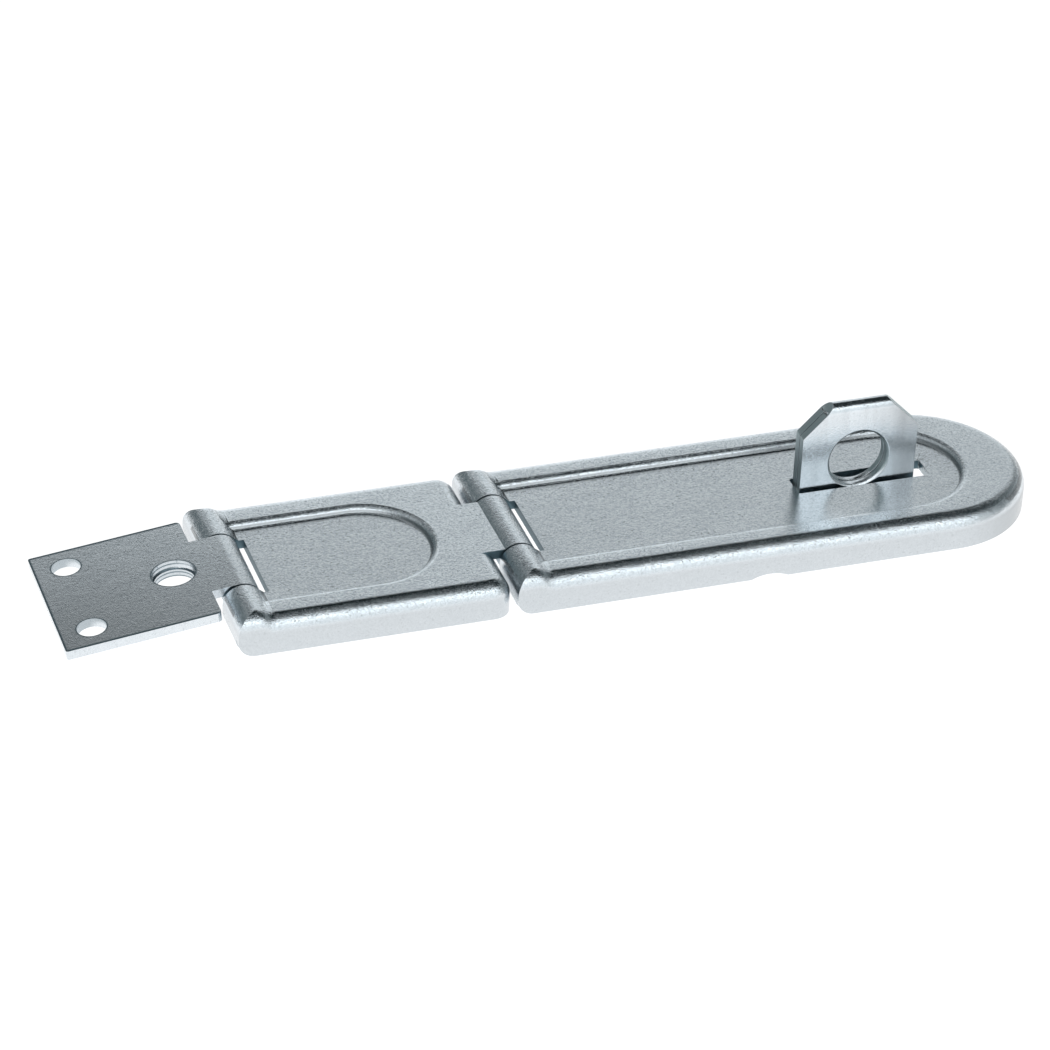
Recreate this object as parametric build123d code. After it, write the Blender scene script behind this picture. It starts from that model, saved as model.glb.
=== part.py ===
from build123d import *
import math
import os

# Double-jointed security hasp of zinc-plated pressed steel, lying closed over its staple.
# X runs along the hasp towards the round end, Y across it, Z up from the surface it lies on.
# The origin is under the middle of the whole hasp, on that surface. Millimetres.

# Driving dimensions of the sheet and the leaves
SHEET = 2.0                  # thickness of every pressed sheet
LEAF_WIDTH = 45.0            # outside width over the side skirts
LEAF_HEIGHT = 7.6            # rim plane above the skirts' lower edges
EDGE_BEND = 3.5              # outside radius where the top turns down into a skirt
LONG_REACH = 114.7           # leaf hinge axis to the tip of the round end
HINGE_SPACING = 58.1         # plate hinge axis to leaf hinge axis
MIDDLE_END_GAP = 4.9         # middle leaf's cut right edge to the leaf hinge axis
SKIRT_TOE = 3.5              # radius of a skirt's lower corner at a knuckle
MIDDLE_CORNER = 4.0          # plan radius of the middle leaf's right corners
RELIEF_WIDTH = 0.9           # notch on each side of its tongue, where its end turns down
RELIEF_REACH = 1.0           # how far that notch runs in from the end

# Recesses pressed into the leaves
RECESS_DEPTH = 1.3
RECESS_SLOPE = 0.7           # how far a recess wall leans outwards over its depth
LONG_RECESS_HALF = 14.5      # half width of the long leaf's recess floor
LONG_RECESS_END = 28.8       # round end's tip to the centre of the recess's own round end
MIDDLE_RECESS_HALF = 13.9
MIDDLE_RECESS_END = 30.1     # leaf hinge axis to the centre of the recess's round end
RECESS_BROW = 1.7            # rounding of a recess's upper edge
RECESS_FOOT = 0.6            # rounding of a recess's floor edge
BROW_EDGE = 20.0             # degrees from level at which a brow meets a rim beside a knuckle
RECESS_NECK = 0.03           # how much narrower each side of a recess is beside a knuckle

# Hinges
PIN_RADIUS = 2.1
PIN_CLEARANCE = 0.05         # radial running clearance in the knuckles
PIN_END_GAP = 0.3            # between a pin's end and the skirt that closes it in
KNUCKLE_FLOOR = 0.4          # lowest point of a roll above the surface
KNUCKLE_CORNER = 2.3         # outside radius at a knuckle's folded lower corner
KNUCKLE_LIP = 1.2            # how far a knuckle's folded lip runs past the hinge axis
KNUCKLE_SLOPE = 40.0         # degrees, of the straight run from a recess floor up to its roll
RIM_BLEND = 4.0              # hollow radius where a rim runs up onto its roll
TONGUE_WIDTH = 18.8
TONGUE_SIDE_GAP = 0.5        # between the tongue and each knuckle
SLOT_REACH = 5.5             # hinge axis to the far edge of the tongue's slot
TONGUE_CURL = 220.0          # degrees a tongue wraps from the top of its pin

# Fixing plate
PLATE_WIDTH = 34.8
PLATE_REACH = 37.5           # plate hinge axis to the plate's free end
PLATE_SETBACK = 5.7          # plate hinge axis to the plate's shoulders beside the tongue
PLATE_DROOP = 6.9            # degrees the free end hangs below level, as it lies
PLATE_CORNER = 0.5
SHOULDER_CORNER = 1.0
SCREW_HOLE_RADIUS = 3.0
SCREW_HOLE_INSET = 6.6       # from the plate's free end
SCREW_HOLE_SPACING = 22.6
BOLT_HOLE_RADIUS = 4.5
BOLT_HOLE_REACH = 11.3       # plate hinge axis to the bolt hole
COLLAR_BORE_RADIUS = 4.15
COLLAR_WALL = 1.3
COLLAR_HEIGHT = 1.6          # collar drawn out below the plate

# Staple, one sheet doubled over at its top, with its legs turned out as screw flanges
STAPLE_WIDTH = 25.8
STAPLE_HEIGHT = 25.5
STAPLE_THICKNESS = 4.0       # over both layers
STAPLE_SEAM = 0.2            # between the two layers
STAPLE_CHAMFER = 6.8
STAPLE_END_REACH = 37.45     # round end's tip to the staple's middle
SHACKLE_HOLE_RADIUS = 6.45
SHACKLE_HOLE_HEIGHT = 12.2
SHACKLE_RIM_BEVEL = 0.5
FLANGE_REACH = 17.0          # from the staple's middle plane to a flange's edge
FLANGE_BEND = 1.0            # inside radius where a leg turns into its flange
FLANGE_HOLE_RADIUS = 2.6
FLANGE_HOLE_SPACING = 14.0   # along X
FLANGE_HOLE_OFFSET = 11.5    # from the staple's middle plane
SLOT_HALF_WIDTH = 3.0        # staple slot in the long leaf
SLOT_LEFT_GAP = 0.5          # staple slot's left end to the staple
SLOT_RIGHT_GAP = 3.4         # staple slot's right end to the staple
SLOT_CORNER = 0.6
NOTCH_LENGTH = 8.0           # shallow arch in the lower edge of the long leaf's front skirt
NOTCH_HEIGHT = 0.9
NOTCH_END_REACH = 64.4       # round end's tip to the middle of the arch

# Worked out from the driving dimensions
HALF_WIDTH = LEAF_WIDTH / 2
ROLL_INNER = PIN_RADIUS + PIN_CLEARANCE
ROLL_OUTER = ROLL_INNER + SHEET
PIN_HEIGHT = KNUCKLE_FLOOR + ROLL_OUTER
DROOP = math.radians(PLATE_DROOP)
FREE_END = PLATE_REACH * math.cos(DROOP) + ROLL_OUTER * math.sin(DROOP)
OVERALL_LENGTH = FREE_END + HINGE_SPACING + LONG_REACH
PLATE_AXIS_X = FREE_END - OVERALL_LENGTH / 2
LEAF_AXIS_X = PLATE_AXIS_X + HINGE_SPACING
TIP_X = LEAF_AXIS_X + LONG_REACH
RECESS_FLOOR = LEAF_HEIGHT - RECESS_DEPTH
KNUCKLE_START = TONGUE_WIDTH / 2 + TONGUE_SIDE_GAP
RIM_RISE = LEAF_HEIGHT - PIN_HEIGHT
BLEND_REACH = math.sqrt((ROLL_OUTER + RIM_BLEND)**2 - (RIM_RISE + RIM_BLEND)**2)
BLEND_ANGLE = math.degrees(math.atan2(RIM_RISE + RIM_BLEND, BLEND_REACH))
MIDDLE_END_X = LEAF_AXIS_X - MIDDLE_END_GAP
STAPLE_X = TIP_X - STAPLE_END_REACH
FAR = 400.0                  # longer than anything here, for cutting


def slab(x_low, x_high, y_low, y_high, z_low, z_high):
    """A box between two corners."""
    size = (x_high - x_low, y_high - y_low, z_high - z_low)
    middle = ((x_low + x_high) / 2, (y_low + y_high) / 2, (z_low + z_high) / 2)
    return Pos(*middle) * Box(*size)


def round_ended(x_start, x_centre, half_width):
    """Plan outline: straight sides from x_start, closed by a half circle about x_centre."""
    straight = Pos((x_start + x_centre) / 2, 0) * Rectangle(x_centre - x_start, 2 * half_width)
    return straight + Pos(x_centre, 0) * Circle(half_width)


def square_ended(x_start, x_end, half_width, corner):
    """Plan outline: straight sides from x_start to a straight end with two rounded corners."""
    plan = Pos((x_start + x_end) / 2, 0) * Rectangle(x_end - x_start, 2 * half_width)
    return fillet(plan.vertices().group_by(Axis.X)[-1], corner)


def edges_at_height(solid, z):
    """Every edge of a solid that lies flat at height z."""
    return [e for e in solid.edges() if abs(e.bounding_box().min.Z - z) < 1e-4
            and abs(e.bounding_box().max.Z - z) < 1e-4]


def edges_off_ends(edges, *end_xs):
    """Leave out the edges that run across the leaf at one of the given ends."""
    def lies_across(edge):
        box = edge.bounding_box()
        return any(abs(box.min.X - x) < 1e-3 and abs(box.max.X - x) < 1e-3 for x in end_xs)
    return [e for e in edges if not lies_across(e)]


def raised(outline, z_low, z_high, taper=0.0):
    """Raise a plan outline between two heights, narrowing upwards for a positive taper."""
    return extrude(Pos(0, 0, z_low) * outline, z_high - z_low, dir=(0, 0, 1), taper=taper)


def pressed_shell(outer_plan, inner_plan, open_ends, recess_start, recess_centre, recess_half):
    """Top, skirts and recess of a leaf, all one thickness of sheet, without its knuckles."""
    lean = -math.degrees(math.atan2(RECESS_SLOPE, RECESS_DEPTH))
    outside = raised(outer_plan, 0, LEAF_HEIGHT)
    outside = fillet(edges_off_ends(edges_at_height(outside, LEAF_HEIGHT), *open_ends), EDGE_BEND)
    hollow = raised(inner_plan, -1, LEAF_HEIGHT - SHEET)
    long_edges = edges_off_ends(edges_at_height(hollow, LEAF_HEIGHT - SHEET), *open_ends)
    long_edges = [e for e in long_edges if e.bounding_box().size.X > 3 * SHEET]
    hollow = fillet(long_edges, EDGE_BEND - SHEET)
    floor_plan = round_ended(recess_start, recess_centre, recess_half)
    recess = raised(floor_plan, RECESS_FLOOR, LEAF_HEIGHT, lean)
    recess += raised(round_ended(recess_start, recess_centre, recess_half + RECESS_SLOPE),
                     LEAF_HEIGHT, LEAF_HEIGHT + 1)
    outside -= recess
    rim_edges = edges_off_ends(edges_at_height(outside, LEAF_HEIGHT), *open_ends)
    rim_edges = [e for e in rim_edges if abs(e.center().Y) < recess_half + 2 * RECESS_SLOPE
                 and e.center().X < recess_centre + recess_half + 2 * RECESS_SLOPE]
    outside = fillet(rim_edges, RECESS_BROW)
    floor_edges = edges_off_ends(edges_at_height(outside, RECESS_FLOOR), *open_ends)
    outside = fillet(floor_edges, RECESS_FOOT)
    bump_plan = round_ended(recess_start, recess_centre, recess_half + SHEET - RECESS_SLOPE)
    bump = raised(bump_plan, RECESS_FLOOR - SHEET, LEAF_HEIGHT - SHEET, lean)
    return outside - (hollow - bump)


def side_view(points_and_arcs, y_low, y_high):
    """Extrude a closed side-view outline, given as edges in the XZ plane, along Y."""
    face = make_face(points_and_arcs)
    solid = extrude(face, y_high - y_low, dir=(0, 1, 0))
    return Pos(0, y_low, 0) * solid


def polar(axis_x, radius, degrees):
    """A point in the XZ plane at an angle about a hinge axis."""
    angle = math.radians(degrees)
    return (axis_x + radius * math.cos(angle), 0, PIN_HEIGHT + radius * math.sin(angle))


def roll_arc(axis_x, radius, start, end):
    """An arc about a hinge axis in the XZ plane, angles in degrees from +X towards +Z."""
    return ThreePointArc(polar(axis_x, radius, start), polar(axis_x, radius, (start + end) / 2),
                         polar(axis_x, radius, end))


def corner_arc(centre, radius, start, end):
    """An arc about any centre in the XZ plane."""
    def point(degrees):
        angle = math.radians(degrees)
        return (centre[0] + radius * math.cos(angle), 0, centre[1] + radius * math.sin(angle))
    return ThreePointArc(point(start), point((start + end) / 2), point(end))


def knuckle(axis_x, y_low, y_high):
    """Sheet that runs up from a leaf, over its pin, down the outside and under it."""
    underside = RECESS_FLOOR - SHEET - PIN_HEIGHT
    inner_start = math.degrees(math.asin(underside / ROLL_INNER))
    outer_start = math.degrees(math.asin(underside / ROLL_OUTER))
    left = axis_x - ROLL_OUTER
    bottom = PIN_HEIGHT - ROLL_OUTER
    inside_corner = KNUCKLE_CORNER - SHEET
    lip_end = axis_x + KNUCKLE_LIP
    outer_centre = (left + KNUCKLE_CORNER, bottom + KNUCKLE_CORNER)
    outline = [
        roll_arc(axis_x, ROLL_OUTER, outer_start, 180),
        Line((left, 0, PIN_HEIGHT), (left, 0, bottom + KNUCKLE_CORNER)),
        corner_arc(outer_centre, KNUCKLE_CORNER, 180, 270),
        Line((left + KNUCKLE_CORNER, 0, bottom), (lip_end, 0, bottom)),
        Line((lip_end, 0, bottom), (lip_end, 0, bottom + SHEET)),
        Line((lip_end, 0, bottom + SHEET), (outer_centre[0], 0, bottom + SHEET)),
        corner_arc(outer_centre, inside_corner, 270, 180),
        Line((left + SHEET, 0, outer_centre[1]), (left + SHEET, 0, PIN_HEIGHT)),
        roll_arc(axis_x, ROLL_INNER, 180, inner_start),
        Line(polar(axis_x, ROLL_INNER, inner_start), polar(axis_x, ROLL_OUTER, outer_start)),
    ]
    return side_view(outline, y_low, y_high)


def rim_profile(axis_x, bottom):
    """Side outline of a leaf's hinged end: rim, hollow blend, roll and rounded toe."""
    left = axis_x - ROLL_OUTER
    right = axis_x + BLEND_REACH
    blend_centre = (right, LEAF_HEIGHT + RIM_BLEND)
    return [
        corner_arc(blend_centre, RIM_BLEND, 270, 180 + BLEND_ANGLE),
        roll_arc(axis_x, ROLL_OUTER, BLEND_ANGLE, 180),
        Line((left, 0, PIN_HEIGHT), (left, 0, bottom + SKIRT_TOE)),
        corner_arc((left + SKIRT_TOE, bottom + SKIRT_TOE), SKIRT_TOE, 180, 270),
        Line((left + SKIRT_TOE, 0, bottom), (right, 0, bottom)),
        Line((right, 0, bottom), (right, 0, LEAF_HEIGHT)),
    ]


def rim_sheet(axis_x, y_low, y_high):
    """The rim's own sheet where it runs up the hollow blend onto the roll."""
    right = axis_x + BLEND_REACH
    blend_centre = (right, LEAF_HEIGHT + RIM_BLEND)
    under = RIM_BLEND + SHEET
    outline = [
        corner_arc(blend_centre, RIM_BLEND, 270, 180 + BLEND_ANGLE),
        Line(polar(axis_x, ROLL_OUTER, BLEND_ANGLE), polar(axis_x, ROLL_INNER, BLEND_ANGLE)),
        corner_arc(blend_centre, under, 180 + BLEND_ANGLE, 270),
        Line((right, 0, LEAF_HEIGHT - SHEET), (right, 0, LEAF_HEIGHT)),
    ]
    return side_view(outline, y_low, y_high)


def recess_slope(axis_x, y_low, y_high):
    """The straight run from a recess floor up to the roll, beside the tongue's slot."""
    angle = math.radians(90 - KNUCKLE_SLOPE)
    touch = polar(axis_x, ROLL_OUTER, 90 - KNUCKLE_SLOPE)
    drop = touch[2] - RECESS_FLOOR
    crease = (touch[0] + drop * math.tan(angle), 0, RECESS_FLOOR)
    inside = (axis_x + ROLL_INNER, 0, RECESS_FLOOR)
    under = (crease[0], 0, RECESS_FLOOR - SHEET)
    outline = [
        Line(touch, crease),
        Line(crease, under),
        Line(under, (inside[0], 0, under[2])),
        Line((inside[0], 0, under[2]), touch),
    ]
    return side_view(outline, y_low, y_high)


def section_arc(x, centre, radius, start, end):
    """An arc in the leaf's cross-section at one place along it, about a centre in the YZ plane."""
    angles = [math.radians(a) for a in (start, (start + end) / 2, end)]
    return ThreePointArc(*[(x, centre[0] + radius * math.cos(a), centre[1] + radius * math.sin(a))
                           for a in angles])


def crown_section(x, top):
    """The leaf's cross-section at one place along it, with rounded upper corners."""
    low = -1.0
    shoulder = top - EDGE_BEND
    side = HALF_WIDTH - EDGE_BEND
    return make_face([
        Line((x, HALF_WIDTH, low), (x, HALF_WIDTH, shoulder)),
        section_arc(x, (side, shoulder), EDGE_BEND, 0, 90),
        Line((x, side, top), (x, -side, top)),
        section_arc(x, (-side, shoulder), EDGE_BEND, 90, 180),
        Line((x, -HALF_WIDTH, shoulder), (x, -HALF_WIDTH, low)),
        Line((x, -HALF_WIDTH, low), (x, HALF_WIDTH, low)),
    ])


def crown(axis_x):
    """Everything under the rounded top of a hinged end, following the roll and the blend."""
    top = PIN_HEIGHT + ROLL_OUTER
    stations = [(axis_x - 2 * ROLL_OUTER, top), (axis_x, top)]
    roll_steps = 5
    for step in range(1, roll_steps + 1):
        angle = math.radians(90 + (BLEND_ANGLE - 90) * step / roll_steps)
        stations.append((axis_x + ROLL_OUTER * math.cos(angle), PIN_HEIGHT + ROLL_OUTER * math.sin(angle)))
    for step in range(1, roll_steps + 1):
        angle = math.radians(BLEND_ANGLE + (90 - BLEND_ANGLE) * step / roll_steps)
        stations.append((axis_x + BLEND_REACH - RIM_BLEND * math.cos(angle),
                         LEAF_HEIGHT + RIM_BLEND - RIM_BLEND * math.sin(angle)))
    stations.append((axis_x + 2 * ROLL_OUTER, LEAF_HEIGHT))
    return loft([crown_section(x, z) for x, z in stations], ruled=True)


def recess_run_out(axis_x, recess_half):
    """The recess's own space, carried on from the leaf into the roll, with its rounded brows."""
    lean = math.atan2(RECESS_SLOPE, RECESS_DEPTH)
    brow_y = recess_half + RECESS_SLOPE + RECESS_BROW * math.tan(math.pi / 4 - lean / 2)
    brow_z = LEAF_HEIGHT - RECESS_BROW
    wall_turn = 90 - math.degrees(lean)
    above = 2 * SHEET
    flare = above / math.tan(math.radians(BROW_EDGE))
    left = section_arc(axis_x, (-brow_y, brow_z), RECESS_BROW, 90 - wall_turn, 90 - BROW_EDGE)
    right = section_arc(axis_x, (brow_y, brow_z), RECESS_BROW, 90 + BROW_EDGE, 90 + wall_turn)
    corners = [(right @ 1), (axis_x, recess_half, RECESS_FLOOR), (axis_x, -recess_half, RECESS_FLOOR),
               (left @ 0)]
    lip = left @ 1
    far_left = (axis_x, lip.Y - flare, lip.Z + above)
    far_right = (axis_x, flare - lip.Y, lip.Z + above)
    outline = [left, right, Polyline(*corners), Polyline(lip, far_left, far_right, right @ 0)]
    return extrude(make_face(outline), BLEND_REACH + SHEET, dir=(1, 0, 0))


def knuckle_end(axis_x, recess_half):
    """Both knuckles of a leaf with the ends of its skirts, rounded over at the sides."""
    inner_half = HALF_WIDTH - SHEET
    wall_half = recess_half + RECESS_SLOPE + RECESS_BROW
    end = rim_sheet(axis_x, -inner_half, inner_half) - recess_run_out(axis_x, recess_half - RECESS_NECK)
    end += knuckle(axis_x, -inner_half, inner_half)
    end += recess_slope(axis_x, -wall_half, wall_half)
    for y_low in (inner_half, -HALF_WIDTH):
        end += side_view(rim_profile(axis_x, 0), y_low, y_low + SHEET)
    return end & crown(axis_x)


def tongue_gap(axis_x):
    """The space between two knuckles and the slot that the other piece's tongue goes down."""
    return slab(axis_x - 2 * ROLL_OUTER, axis_x + SLOT_REACH, -KNUCKLE_START, KNUCKLE_START, -1, FAR)


def tongue_roll(axis_x, start):
    """The part of a tongue that wraps clockwise about its pin, from an angle near the top."""
    stop = 90 - TONGUE_CURL
    outline = [
        roll_arc(axis_x, ROLL_OUTER, start, stop),
        Line(polar(axis_x, ROLL_OUTER, stop), polar(axis_x, ROLL_INNER, stop)),
        roll_arc(axis_x, ROLL_INNER, stop, start),
        Line(polar(axis_x, ROLL_INNER, start), polar(axis_x, ROLL_OUTER, start)),
    ]
    return side_view(outline, -TONGUE_WIDTH / 2, TONGUE_WIDTH / 2)


def hinge_pin(axis_x):
    """A plain wire pin, shut in between the side skirts."""
    length = LEAF_WIDTH - 2 * SHEET - 2 * PIN_END_GAP
    return Pos(axis_x, 0, PIN_HEIGHT) * Rot(90, 0, 0) * Cylinder(PIN_RADIUS, length)


def fixing_plate():
    """Flat leaf with two screw holes, a collared bolt hole and a tongue over its pin."""
    top = PIN_HEIGHT + ROLL_OUTER
    left = PLATE_AXIS_X - PLATE_REACH
    shoulder = PLATE_AXIS_X - PLATE_SETBACK
    half = PLATE_WIDTH / 2
    plate = slab(left, shoulder, -half, half, top - SHEET, top)
    free_corners = plate.edges().filter_by(Axis.Z).group_by(Axis.X)[0]
    plate = fillet(free_corners, PLATE_CORNER)
    shoulder_corners = plate.edges().filter_by(Axis.Z).group_by(Axis.X)[-1]
    plate = fillet(shoulder_corners, SHOULDER_CORNER)
    plate += slab(shoulder - 1, PLATE_AXIS_X, -TONGUE_WIDTH / 2, TONGUE_WIDTH / 2, top - SHEET, top)
    plate += tongue_roll(PLATE_AXIS_X, 90)
    bolt_x = PLATE_AXIS_X - BOLT_HOLE_REACH
    collar = Cylinder(COLLAR_BORE_RADIUS + COLLAR_WALL, COLLAR_HEIGHT)
    plate += Pos(bolt_x, 0, top - SHEET - COLLAR_HEIGHT / 2) * collar
    plate -= Pos(bolt_x, 0, top - SHEET) * Cylinder(COLLAR_BORE_RADIUS, 4 * COLLAR_HEIGHT)
    plate -= Pos(bolt_x, 0, top - SHEET / 2) * Cylinder(BOLT_HOLE_RADIUS, SHEET)
    for side in (-1, 1):
        hole = Cylinder(SCREW_HOLE_RADIUS, 3 * SHEET)
        plate -= Pos(left + SCREW_HOLE_INSET, side * SCREW_HOLE_SPACING / 2, top) * hole
    about_pin = Pos(PLATE_AXIS_X, 0, PIN_HEIGHT)
    return about_pin * Rot(0, -PLATE_DROOP, 0) * about_pin.inverse() * plate


def middle_leaf():
    """Short pressed leaf: knuckles at its left, a tongue over the long leaf's pin at its right."""
    start = PLATE_AXIS_X + BLEND_REACH
    outer = square_ended(start, MIDDLE_END_X, HALF_WIDTH, MIDDLE_CORNER)
    inner = square_ended(start - 1, MIDDLE_END_X - SHEET, HALF_WIDTH - SHEET, MIDDLE_CORNER - SHEET)
    leaf = pressed_shell(outer, inner, (start, start - 1), start,
                         LEAF_AXIS_X - MIDDLE_RECESS_END, MIDDLE_RECESS_HALF)
    leaf += knuckle_end(PLATE_AXIS_X, MIDDLE_RECESS_HALF)
    leaf -= tongue_gap(PLATE_AXIS_X)
    tongue_half = TONGUE_WIDTH / 2
    relief_half = tongue_half + RELIEF_WIDTH
    bend_start = MIDDLE_END_X - EDGE_BEND
    leaf -= slab(MIDDLE_END_X - RELIEF_REACH, MIDDLE_END_X + 1, -relief_half, relief_half, -1, FAR)
    leaf -= slab(bend_start - SHEET, MIDDLE_END_X, -tongue_half, tongue_half, -1, LEAF_HEIGHT - SHEET)
    joint_angle = 180 - math.degrees(math.asin(RIM_RISE / ROLL_OUTER))
    flat = slab(bend_start - 1, LEAF_AXIS_X, -tongue_half, tongue_half,
                LEAF_HEIGHT - SHEET, LEAF_HEIGHT)
    bore = Pos(LEAF_AXIS_X, 0, PIN_HEIGHT) * Rot(90, 0, 0) * Cylinder(ROLL_INNER, LEAF_WIDTH)
    leaf += flat - bore
    leaf += tongue_roll(LEAF_AXIS_X, joint_angle)
    return leaf


def long_leaf():
    """Long pressed leaf with a round end, knuckles at its left and the staple's slot."""
    start = LEAF_AXIS_X + BLEND_REACH
    end_centre = TIP_X - HALF_WIDTH
    outer = round_ended(start, end_centre, HALF_WIDTH)
    inner = round_ended(start - 1, end_centre, HALF_WIDTH - SHEET)
    leaf = pressed_shell(outer, inner, (start, start - 1), start, TIP_X - LONG_RECESS_END,
                         LONG_RECESS_HALF)
    leaf += knuckle_end(LEAF_AXIS_X, LONG_RECESS_HALF)
    leaf -= tongue_gap(LEAF_AXIS_X)
    slot_low = STAPLE_X - STAPLE_WIDTH / 2 - SLOT_LEFT_GAP
    slot_high = STAPLE_X + STAPLE_WIDTH / 2 + SLOT_RIGHT_GAP
    slot = slab(slot_low, slot_high, -SLOT_HALF_WIDTH, SLOT_HALF_WIDTH, 0, LEAF_HEIGHT)
    leaf -= fillet(slot.edges().filter_by(Axis.Z), SLOT_CORNER)
    arch_radius = (NOTCH_LENGTH**2 / 4 + NOTCH_HEIGHT**2) / (2 * NOTCH_HEIGHT)
    arch = Rot(90, 0, 0) * Cylinder(arch_radius, 2 * SHEET)
    leaf -= Pos(TIP_X - NOTCH_END_REACH, -HALF_WIDTH, NOTCH_HEIGHT - arch_radius) * arch
    return leaf


def staple_strip():
    """The staple's folded strip seen from its end, extruded over its width."""
    layer = (STAPLE_THICKNESS - STAPLE_SEAM) / 2
    half = STAPLE_THICKNESS / 2
    seam = STAPLE_SEAM / 2
    outer_bend = FLANGE_BEND + layer
    fold_centre = STAPLE_HEIGHT - half

    def point(y, z):
        return (0, y, z)

    def bend(centre_y, centre_z, radius, start, end):
        angles = [math.radians(a) for a in (start, (start + end) / 2, end)]
        return ThreePointArc(*[point(centre_y + radius * math.cos(a), centre_z + radius * math.sin(a))
                               for a in angles])

    root = half + FLANGE_BEND
    outline = [
        bend(0, fold_centre, half, 0, 180),
        Line(point(-half, fold_centre), point(-half, outer_bend)),
        bend(-root, outer_bend, FLANGE_BEND, 0, -90),
        Line(point(-root, layer), point(-FLANGE_REACH, layer)),
        Line(point(-FLANGE_REACH, layer), point(-FLANGE_REACH, 0)),
        Line(point(-FLANGE_REACH, 0), point(-root, 0)),
        bend(-root, outer_bend, outer_bend, -90, 0),
        Line(point(-seam, outer_bend), point(-seam, fold_centre)),
        bend(0, fold_centre, seam, 180, 0),
        Line(point(seam, fold_centre), point(seam, outer_bend)),
        bend(root, outer_bend, outer_bend, 180, 270),
        Line(point(root, 0), point(FLANGE_REACH, 0)),
        Line(point(FLANGE_REACH, 0), point(FLANGE_REACH, layer)),
        Line(point(FLANGE_REACH, layer), point(root, layer)),
        bend(root, outer_bend, FLANGE_BEND, 270, 180),
        Line(point(half, outer_bend), point(half, fold_centre)),
    ]
    strip = extrude(make_face(outline), STAPLE_WIDTH, dir=(1, 0, 0))
    return Pos(-STAPLE_WIDTH / 2, 0, 0) * strip


def staple():
    """Eye plate of doubled sheet with a shackle hole, on two flanges hidden by the leaf."""
    eye = staple_strip()
    for side in (-1, 1):
        corner = Pos(side * STAPLE_WIDTH / 2, 0, STAPLE_HEIGHT) * Rot(0, 45, 0)
        eye -= corner * Box(STAPLE_CHAMFER * math.sqrt(2), STAPLE_WIDTH, STAPLE_CHAMFER * math.sqrt(2))
    across = Pos(0, 0, SHACKLE_HOLE_HEIGHT) * Rot(90, 0, 0)
    eye -= across * Cylinder(SHACKLE_HOLE_RADIUS, 4 * STAPLE_THICKNESS)
    for side in (-1, 1):
        face_y = side * STAPLE_THICKNESS / 2
        bevel = Cone(SHACKLE_HOLE_RADIUS, SHACKLE_HOLE_RADIUS + SHACKLE_RIM_BEVEL, SHACKLE_RIM_BEVEL)
        turn = Rot(-90 * side, 0, 0)
        eye -= Pos(0, face_y - side * SHACKLE_RIM_BEVEL / 2, SHACKLE_HOLE_HEIGHT) * turn * bevel
        for end in (-1, 1):
            hole = Cylinder(FLANGE_HOLE_RADIUS, 4 * SHEET)
            eye -= Pos(end * FLANGE_HOLE_SPACING / 2, side * FLANGE_HOLE_OFFSET, 0) * hole
    return Pos(STAPLE_X, 0, 0) * eye


def main():
    """Build every piece and write one STEP file for each."""
    pieces = {
        "fixing_plate": fixing_plate(),
        "plate_hinge_pin": hinge_pin(PLATE_AXIS_X),
        "middle_leaf": middle_leaf(),
        "leaf_hinge_pin": hinge_pin(LEAF_AXIS_X),
        "long_leaf": long_leaf(),
        "staple": staple(),
    }
    os.makedirs("parts", exist_ok=True)
    for name, piece in pieces.items():
        export_step(piece, f"parts/{name}.step")
        box = piece.bounding_box()
        print(f"{name:16s} {len(piece.solids())} solid, {piece.volume:9.1f} mm3,"
              f" x {box.min.X:.2f}..{box.max.X:.2f}, z {box.min.Z:.2f}..{box.max.Z:.2f}")


main()
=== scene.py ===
import math

import bpy
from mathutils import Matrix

# The hasp's own places in metres, in the frame that the solids use
PLATE_AXIS_X = -0.06754
LEAF_AXIS_X = -0.00944
ROUND_END_X = 0.0828
RIM_HEIGHT = 0.0076
RECESS_HEIGHT = 0.0063
RECESS_SIDE_Y = 0.0168       # just outside the widest recess wall
KNUCKLE_Y = 0.0112           # just outside the inner sides of the knuckles
SLOT_Y = 0.0099              # half width of a tongue's slot
SLOT_REACH = 0.007           # from a hinge's axis to just past its slot's far wall
PLATE_EDGE_X = -0.10526
PLATE_EDGE_Y = 0.0174
PLATE_LEAN = 0.121           # slope at which the fixing plate droops
SCREW_HOLE = (-0.09871, 0.0113, 0.003)
BOLT_HOLE = (-0.07925, 0.0, 0.0045)
BOLT_RING = 0.0009           # from one ring in the bolt hole to the next
STAPLE_X = 0.0678
FADE = 0.0002                # over which a marked area ends

# Zinc plate where it is bright, a darker zinc for painted shade, and the colours of cut edges
# and pits
ZINC_DARK = (0.60, 0.645, 0.68, 1)
ZINC_LIGHT = (0.87, 0.91, 0.94, 1)
ZINC_PAINTED_SHADE = (0.43, 0.45, 0.465, 1)
# Bare steel at cut edges; on the fixing plate the same colour paints thin lines of shade
CUT_STEEL_AND_PAINTED_LINE = (0.12, 0.18, 0.21, 1)
CUT_ZINC = (0.50, 0.58, 0.60, 1)
PITTED = (0.20, 0.24, 0.26, 1)

# How closely each pattern is set, per metre
CLOUD_SCALE = 70.0
BAND_SCALE = 260.0
STREAK_SCALE = 450.0
MOTTLE_SCALE = 1300.0
PIT_SCALE = 2100.0
GRAIN_SCALE = 3400.0

# How far a surface faces up, from the first value to the second, when it counts as level
LEVEL = (0.8, 0.95)

# Roundings of sharp edges, and the gap under which two corners of a mesh are one
EDGE = 0.00012
PLATE_EDGE = 0.0003
SAME_CORNER = 0.000001

# The photograph's viewpoint
CAMERA_LENS = 144.21
CAMERA_PLACE = (-0.24814, -0.68993, 0.46828)
CAMERA_TURN = (1.00737, -0.03425, -0.3173)

FLOOR_SIZE = 6.0
FLOOR_DROP = 0.00002
FLOOR_SHADE = (0.25, 0.25, 0.25, 1)
FLOOR_GLOW = 0.95

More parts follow.
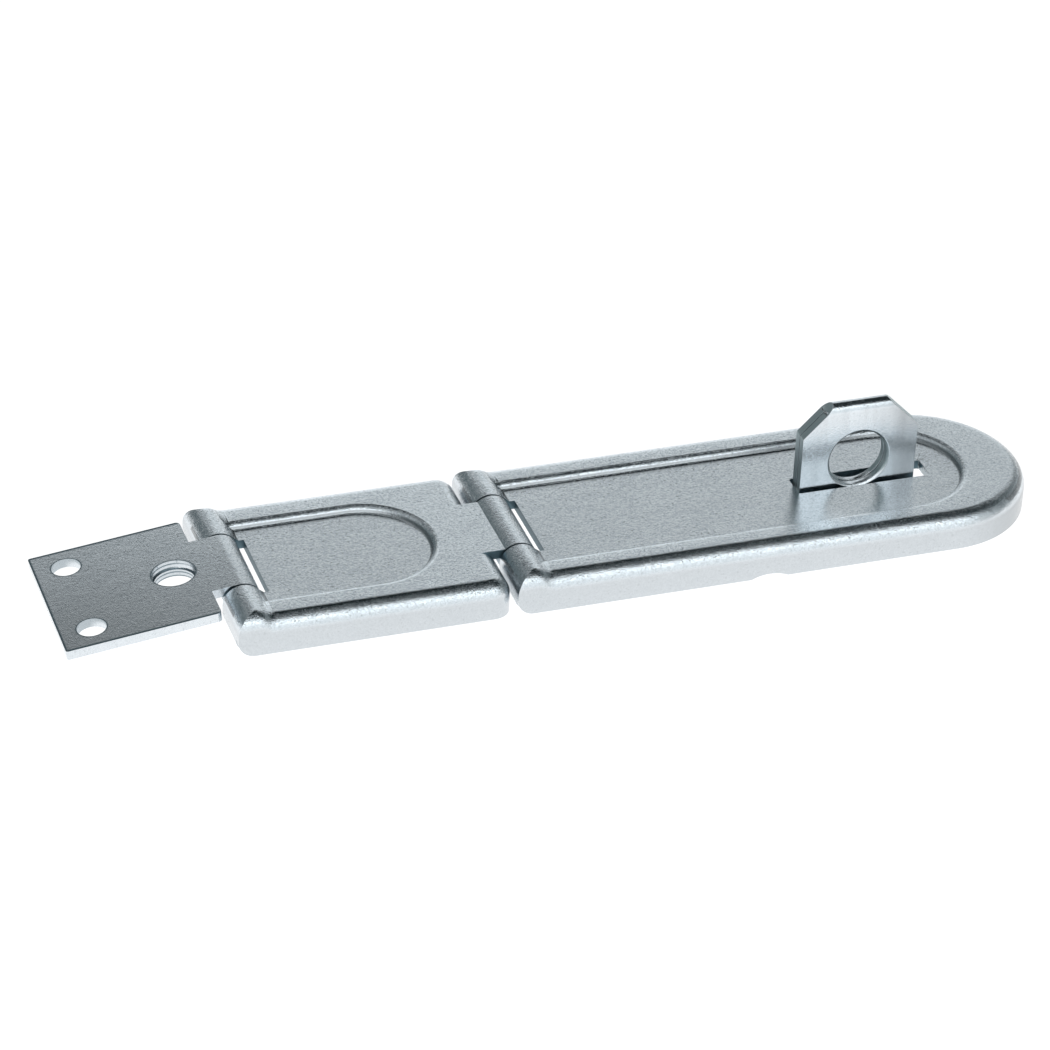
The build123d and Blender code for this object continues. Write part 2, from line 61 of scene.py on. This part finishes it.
# The studio's lights, by direction: x to the right, y away from the viewer, z up. Each pair
# is where a light starts to change and where it has changed.
WALL_END_Z = (0.57, 0.64)
WALL_LEFT_X = (-0.25, 0.17)
WALL_RIGHT_X = (0.25, 0.45)
WALL_FAR_RIGHT_X = (0.5, 0.68)
CEILING_START_Y = (-0.46, -0.37)
CEILING_LOW_Z = (0.1, 0.35)
CEILING_HIGH_Z = (0.45, 0.85)
CEILING_RIGHT_X = (0.6, 0.9)
LEFT_FILL_X = (-0.35, -0.12)
LEFT_FILL_Z = (0.45, 0.65)
RIGHT_FILL_X = (0.65, 0.85)
RIGHT_FILL_Z = (0.3, 0.6)
OVERHEAD_Z = (0.972, 0.99)
LIGHT_DIM = (0.25, 0.40, 0.44, 1)
LIGHT_FULL = (0.93, 0.98, 1.0, 1)
AMBIENT = 0.035


class Wire:
    """A value inside a material, so that shader maths reads as ordinary arithmetic."""

    def __init__(self, finish, socket):
        self.finish = finish
        self.socket = socket

    def maths(self, operation, *others):
        values = dict(enumerate((self, *others)))
        return self.finish.node("ShaderNodeMath", {"operation": operation}, values)["Value"]

    def __add__(self, other):
        return self.maths("ADD", other)

    def __sub__(self, other):
        return self.maths("SUBTRACT", other)

    def __mul__(self, other):
        return self.maths("MULTIPLY", other)

    def __rsub__(self, other):
        return self.maths("MULTIPLY", -1.0).maths("ADD", other)

    def sine(self):
        return self.maths("SINE")

    def root(self):
        return self.maths("POWER", 0.5)

    def distance_from(self, place):
        return (self - place).maths("ABSOLUTE")

    def at_most(self, other):
        return self.maths("MINIMUM", other)

    def at_least(self, other):
        return self.maths("MAXIMUM", other)

    def step(self, low, high):
        """0 below low, 1 above high, smooth between."""
        values = {"Value": self, "From Min": low, "From Max": high}
        smooth = {"interpolation_type": "SMOOTHSTEP"}
        return self.finish.node("ShaderNodeMapRange", smooth, values)["Result"]

    def below(self, low, high):
        """1 below low, 0 above high, smooth between."""
        return 1.0 - self.step(low, high)


class Node:
    """One shader node whose outputs are asked for by name."""

    def __init__(self, finish, made):
        self.finish = finish
        self.made = made

    def __getitem__(self, output):
        return Wire(self.finish, self.made.outputs[output])


class Finish:
    """A material, or the surroundings, built node by node."""

    def __init__(self, tree):
        self.tree = tree
        self.tree.nodes.clear()

    def node(self, kind, settings, values):
        made = self.tree.nodes.new(kind)
        for setting, value in settings.items():
            setattr(made, setting, value)
        for socket, value in values.items():
            self.feed(made.inputs[socket], value)
        return Node(self, made)

    def feed(self, socket, value):
        """Give a socket a constant, or wire it to another node."""
        if isinstance(value, Wire):
            self.tree.links.new(value.socket, socket)
        else:
            socket.default_value = value

    def coordinates(self, kind):
        return self.node("ShaderNodeTexCoord", {}, {})[kind]

    def place(self):
        """Where a point is, in metres."""
        return self.coordinates("Object")

    def facing(self):
        """Which way the surface faces, in the piece's own axes."""
        return self.parts(self.coordinates("Normal"))

    def parts(self, vector):
        """The three components of a vector."""
        split = self.node("ShaderNodeSeparateXYZ", {}, {"Vector": vector})
        return split["X"], split["Y"], split["Z"]

    def noise(self, place, scale, detail, roughness):
        values = {"Vector": place, "Scale": scale, "Detail": detail, "Roughness": roughness}
        return self.node("ShaderNodeTexNoise", {}, values)["Fac"]

    def stretched(self, place, along):
        """The place, squeezed along each axis so that a pattern is drawn out."""
        return self.node("ShaderNodeMapping", {}, {"Vector": place, "Scale": along})["Vector"]

    def blend(self, share, low, high):
        """A colour between two others."""
        made = self.node("ShaderNodeMix", {"data_type": "RGBA"}, {"Factor": share}).made
        for name, value in (("A", low), ("B", high)):
            self.feed(next(s for s in made.inputs if s.name == name and s.type == "RGBA"), value)
        return Wire(self, next(s for s in made.outputs if s.type == "RGBA"))

    def metal(self, colour, rough, height, depth):
        """The surface of bare metal with a relief of this depth in metres."""
        relief = {"Height": height, "Strength": 1.0, "Distance": depth}
        bump = self.node("ShaderNodeBump", {}, relief)
        self.surface({"Base Color": colour, "Roughness": rough, "Metallic": 1.0,
                      "Normal": bump["Normal"]})

    def surface(self, values):
        shader = self.node("ShaderNodeBsdfPrincipled", {}, values)
        self.node("ShaderNodeOutputMaterial", {}, {"Surface": shader["BSDF"]})


def new_material(name):
    material = bpy.data.materials.new(name)
    material.use_nodes = True
    return material, Finish(material.node_tree)


def leaf_cuts(finish):
    """1 on the cut sides of knuckles and tongues and on the far wall of a tongue's slot."""
    x, y, _ = finish.parts(finish.place())
    faces_x, faces_y, _ = finish.facing()
    off_middle = y.distance_from(0.0)
    near_knuckles = off_middle.below(KNUCKLE_Y - FADE, KNUCKLE_Y)
    sides = faces_y.distance_from(0.0).step(0.6, 0.8) * near_knuckles
    from_hinge = x.distance_from(PLATE_AXIS_X).at_most(x.distance_from(LEAF_AXIS_X))
    in_slot = from_hinge.below(SLOT_REACH - FADE, SLOT_REACH)
    in_slot = in_slot * off_middle.below(SLOT_Y - FADE, SLOT_Y)
    return sides.at_least((faces_x * -1.0).step(0.7, 0.9) * in_slot)


def staple_cuts(finish):
    """1 on the staple's cut ends and chamfers."""
    return finish.facing()[0].distance_from(0.0).step(0.5, 0.65)


def outside(x, off_middle, hole):
    """How far a place lies outside an upright hole, alike on both sides of the middle."""
    centre_x, centre_y, radius = hole
    along = x - centre_x
    across = off_middle - centre_y
    return (along * along + across * across).root() - radius


def plate_painted_lines(finish):
    """1 in a thin painted line of shade inside the plate's top edges and round its holes, and
    less in painted shade on the rings in the bolt hole and the sides of the screw holes."""
    x, y, z = finish.parts(finish.place())
    faces_z = finish.facing()[2]
    off_middle = y.distance_from(0.0)
    end_line = (x - PLATE_EDGE_X).below(0.0002, 0.0006)
    side_line = off_middle.step(PLATE_EDGE_Y - 0.0008, PLATE_EDGE_Y - 0.0003)
    from_screw = outside(x, off_middle, SCREW_HOLE)
    from_bolt = outside(x, off_middle, BOLT_HOLE)
    hole_lines = from_screw.at_most(from_bolt).below(0.0001, 0.0004) * 0.8
    lines = end_line.at_least(side_line).at_least(hole_lines) * faces_z.step(0.15, 0.4)
    upright = faces_z.below(0.2, 0.4)
    screw_side = from_screw.below(0.0, 0.0001) * upright
    bolt_side = from_bolt.below(0.0, 0.0001) * upright
    # Painted rings of shade down the bolt hole's bore, where the solid has only a step and a
    # collar
    turns = (z - (x - BOLT_HOLE[0]) * PLATE_LEAN) * (2 * math.pi / BOLT_RING)
    rings = bolt_side * (turns.sine().step(0.2, 0.7) * 0.65 + 0.15)
    return lines.at_least(rings).at_least(screw_side * 0.45)


def plate_painted_shade(finish):
    """How much painted shade darkens the flat plate's level faces: more towards its free end and
    its front edge.
    """
    x, y, _ = finish.parts(finish.place())
    front = y.below(-0.018, 0.018)
    free_end = x.below(PLATE_EDGE_X, PLATE_AXIS_X)
    # Painted shade on the plate's level faces
    return (front * 0.5 + free_end * 0.3) * finish.facing()[2].step(*LEVEL)


def staple_shade_and_bands(finish):
    """How much the staple is darkened: painted shade towards its right side, and soft upright
    bands.
    """
    place = finish.place()
    # Painted shade darkens the staple towards its right side
    right = (finish.parts(place)[0] - STAPLE_X).step(0.002, 0.012)
    bands = finish.noise(finish.stretched(place, (1, 1, 0.15)), BAND_SCALE, 2.0, 0.5)
    return right * 0.85 + (bands - 0.5).step(-0.1, 0.2) * 0.25


def leaf_painted_shade(finish):
    """How much painted shade darkens a leaf: on the recess floors and at the foot of their
    walls, on the skirts, more so towards the round end, and on the rim there."""
    x, y, z = finish.parts(finish.place())
    faces_z = finish.facing()[2]
    level = faces_z.step(*LEVEL)
    recess = z.below(RECESS_HEIGHT + FADE, RIM_HEIGHT - 0.0003) * level
    in_recess = y.distance_from(0.0).below(RECESS_SIDE_Y, RECESS_SIDE_Y + 0.0004)
    in_recess = in_recess * z.step(RECESS_HEIGHT - 0.0003, RECESS_HEIGHT)
    wall_foot = z.below(0.0067, 0.0071) * faces_z.below(0.75, 0.97) * in_recess
    skirt = faces_z.distance_from(0.0).below(0.1, 0.5)
    round_end_skirt = x.step(ROUND_END_X, ROUND_END_X + 0.02) * skirt
    far_rim = x.step(0.075, 0.095) * level
    # Painted shade: darker on the recess floors, at the foot of their walls, on the skirts and
    # towards the round end
    shading = recess * 0.25 + skirt * 0.4 + far_rim * 0.15 + round_end_skirt * 0.5 + wall_foot * 1.3
    return shading.at_most(1.3)


def nowhere(finish):
    """For a piece with no cut edges or painted shade of its own."""
    return 0.0


def zinc(name, cuts_and_lines, cut_and_line_colour, shaded, roughness, grain_depth, streak, streak_depth):
    """Zinc plate: mottled crystals, pits and a fine orange-peel grain, drawn out where streak
    is below 1, with areas of painted shade and with rougher cut edges, which on the plate are
    painted lines of shade. Level faces vary more than upright ones, and the bends between them
    have a deeper grain."""
    material, finish = new_material(name)
    place = finish.place()
    upward = finish.facing()[2]
    cloud = finish.noise(place, CLOUD_SCALE, 3.0, 0.55)
    mottle = finish.noise(place, MOTTLE_SCALE, 3.0, 0.6)
    grain = finish.noise(place, GRAIN_SCALE, 3.0, 0.7)
    drawn = finish.noise(finish.stretched(place, streak), STREAK_SCALE, 3.0, 0.6)
    level = upward.distance_from(0.0).step(0.3, 0.8) * 0.75 + 0.25
    crystals = cloud * 0.12 + mottle * 0.28 + grain * 0.6 + (drawn - 0.5) * streak_depth
    tone = ((crystals - 0.5) * level).step(-0.12, 0.12)
    pits = finish.noise(place, PIT_SCALE, 1.0, 0.5).step(0.62, 0.72) * level * 0.6
    bright = finish.blend(pits, finish.blend(tone, ZINC_DARK, ZINC_LIGHT), PITTED)
    shading = shaded(finish)
    cut_and_line = cuts_and_lines(finish)
    # Painted shade, and cut edges (on the plate, painted lines of shade), darken the bright zinc
    colour = finish.blend(cut_and_line, finish.blend(shading, bright, ZINC_PAINTED_SHADE), cut_and_line_colour)
    uneven = (mottle - 0.5) * 0.14 + (cloud - 0.5) * 0.08
    rough = uneven + shading * 0.06 + cut_and_line * 0.28 + roughness
    bend = upward.step(0.2, 0.6) * upward.below(0.94, 0.99)
    peel = (grain + mottle * 0.8 - pits * 0.4) * (bend * 1.2 + 1.0)
    finish.metal(colour, rough, peel + drawn * (streak_depth + 0.2), grain_depth)
    return material


def dress(piece, material, edge=EDGE, segments=2):
    """Give a piece of the frame its finish and round its sharp edges by a hair."""
    piece.data.materials.clear()
    piece.data.materials.append(material)
    for polygon in piece.data.polygons:
        polygon.use_smooth = True
    weld = piece.modifiers.new("weld", "WELD")
    weld.merge_threshold = SAME_CORNER
    edges = piece.modifiers.new("edges", "BEVEL")
    edges.width = edge
    edges.segments = segments
    edges.limit_method = "ANGLE"
    edges.angle_limit = 0.6
    normals = piece.modifiers.new("normals", "WEIGHTED_NORMAL")
    normals.keep_sharp = True
    normals.weight = 100


def make_camera():
    """The photograph's viewpoint."""
    camera = bpy.data.cameras.new("photo_camera")
    camera.lens = CAMERA_LENS
    camera.sensor_width = 36.0
    camera.clip_start = 0.01
    camera.clip_end = 20.0
    holder = bpy.data.objects.new("photo_camera", camera)
    holder.location = CAMERA_PLACE
    holder.rotation_euler = CAMERA_TURN
    bpy.context.scene.collection.objects.link(holder)
    bpy.context.scene.camera = holder


def make_floor():
    """A plain pale floor."""
    bpy.ops.mesh.primitive_plane_add(size=FLOOR_SIZE, location=(0, 0, -FLOOR_DROP))
    floor = bpy.context.object
    floor.name = "floor"
    material, finish = new_material("pale_floor")
    finish.surface({"Base Color": FLOOR_SHADE, "Roughness": 0.9,
                    "Emission Color": (1, 1, 1, 1), "Emission Strength": FLOOR_GLOW})
    floor.data.materials.append(material)


def make_surroundings():
    """Soft studio light: a wide bright ceiling towards the viewer, a pale wall behind that
    falls off upwards and to both sides, a dim gap between the two, and faint fills that keep
    the flats from going dark when they are seen from the side or from above."""
    world = bpy.data.worlds.new("studio")
    bpy.context.scene.world = world
    world.use_nodes = True
    finish = Finish(world.node_tree)
    x, y, z = finish.parts(finish.coordinates("Generated"))
    left = x.step(*WALL_LEFT_X) * 0.78 + 0.22
    right = 1.0 - (x.step(*WALL_RIGHT_X) * 0.12 + x.step(*WALL_FAR_RIGHT_X) * 0.53)
    wall = z.below(*WALL_END_Z) * (1.12 - z.at_least(0.0) * 0.66) * left * right
    height = z.step(*CEILING_HIGH_Z) * 0.75 + z.step(*CEILING_LOW_Z) * 0.18 + 0.87
    ceiling = y.below(*CEILING_START_Y) * height * (1.0 - x.step(*CEILING_RIGHT_X) * 0.6)
    left_fill = x.below(*LEFT_FILL_X) * z.step(*LEFT_FILL_Z) * 0.45
    right_fill = x.step(*RIGHT_FILL_X) * z.step(*RIGHT_FILL_Z) * 0.4
    overhead = z.step(*OVERHEAD_Z) * 0.55
    light = wall.at_least(ceiling).at_least(left_fill).at_least(right_fill).at_least(overhead)
    tone = finish.blend(light.step(0.0, 0.5), LIGHT_DIM, LIGHT_FULL)
    values = {"Color": tone, "Strength": light + AMBIENT}
    background = finish.node("ShaderNodeBackground", {}, values)
    finish.node("ShaderNodeOutputWorld", {}, {"Surface": background["Background"]})


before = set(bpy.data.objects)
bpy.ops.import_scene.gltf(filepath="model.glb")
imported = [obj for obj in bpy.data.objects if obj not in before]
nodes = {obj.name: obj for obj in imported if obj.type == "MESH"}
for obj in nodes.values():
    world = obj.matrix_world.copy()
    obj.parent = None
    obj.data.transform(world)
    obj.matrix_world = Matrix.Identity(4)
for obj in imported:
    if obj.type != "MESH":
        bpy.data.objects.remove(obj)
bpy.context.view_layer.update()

leaf_zinc = zinc("leaf_zinc", leaf_cuts, CUT_STEEL_AND_PAINTED_LINE, leaf_painted_shade, 0.12,
                 0.000032, (0.3, 1, 1), 0.1)
plate_zinc = zinc("plate_zinc", plate_painted_lines, CUT_STEEL_AND_PAINTED_LINE, plate_painted_shade, 0.15,
                  0.00003, (0.3, 1, 1), 0.15)
staple_zinc = zinc("staple_zinc", staple_cuts, CUT_ZINC, staple_shade_and_bands, 0.16,
                   0.000018, (1, 1, 0.3), 0.1)
pin_zinc = zinc("pin_zinc", nowhere, CUT_STEEL_AND_PAINTED_LINE, nowhere, 0.3,
                0.00001, (1, 0.2, 1), 0.3)
dress(nodes["middle_leaf"], leaf_zinc)
dress(nodes["long_leaf"], leaf_zinc)
dress(nodes["fixing_plate"], plate_zinc, PLATE_EDGE, 3)
dress(nodes["staple"], staple_zinc)
dress(nodes["plate_hinge_pin"], pin_zinc)
dress(nodes["leaf_hinge_pin"], pin_zinc)

make_camera()
make_floor()
make_surroundings()
bpy.context.scene.view_settings.view_transform = "Standard"
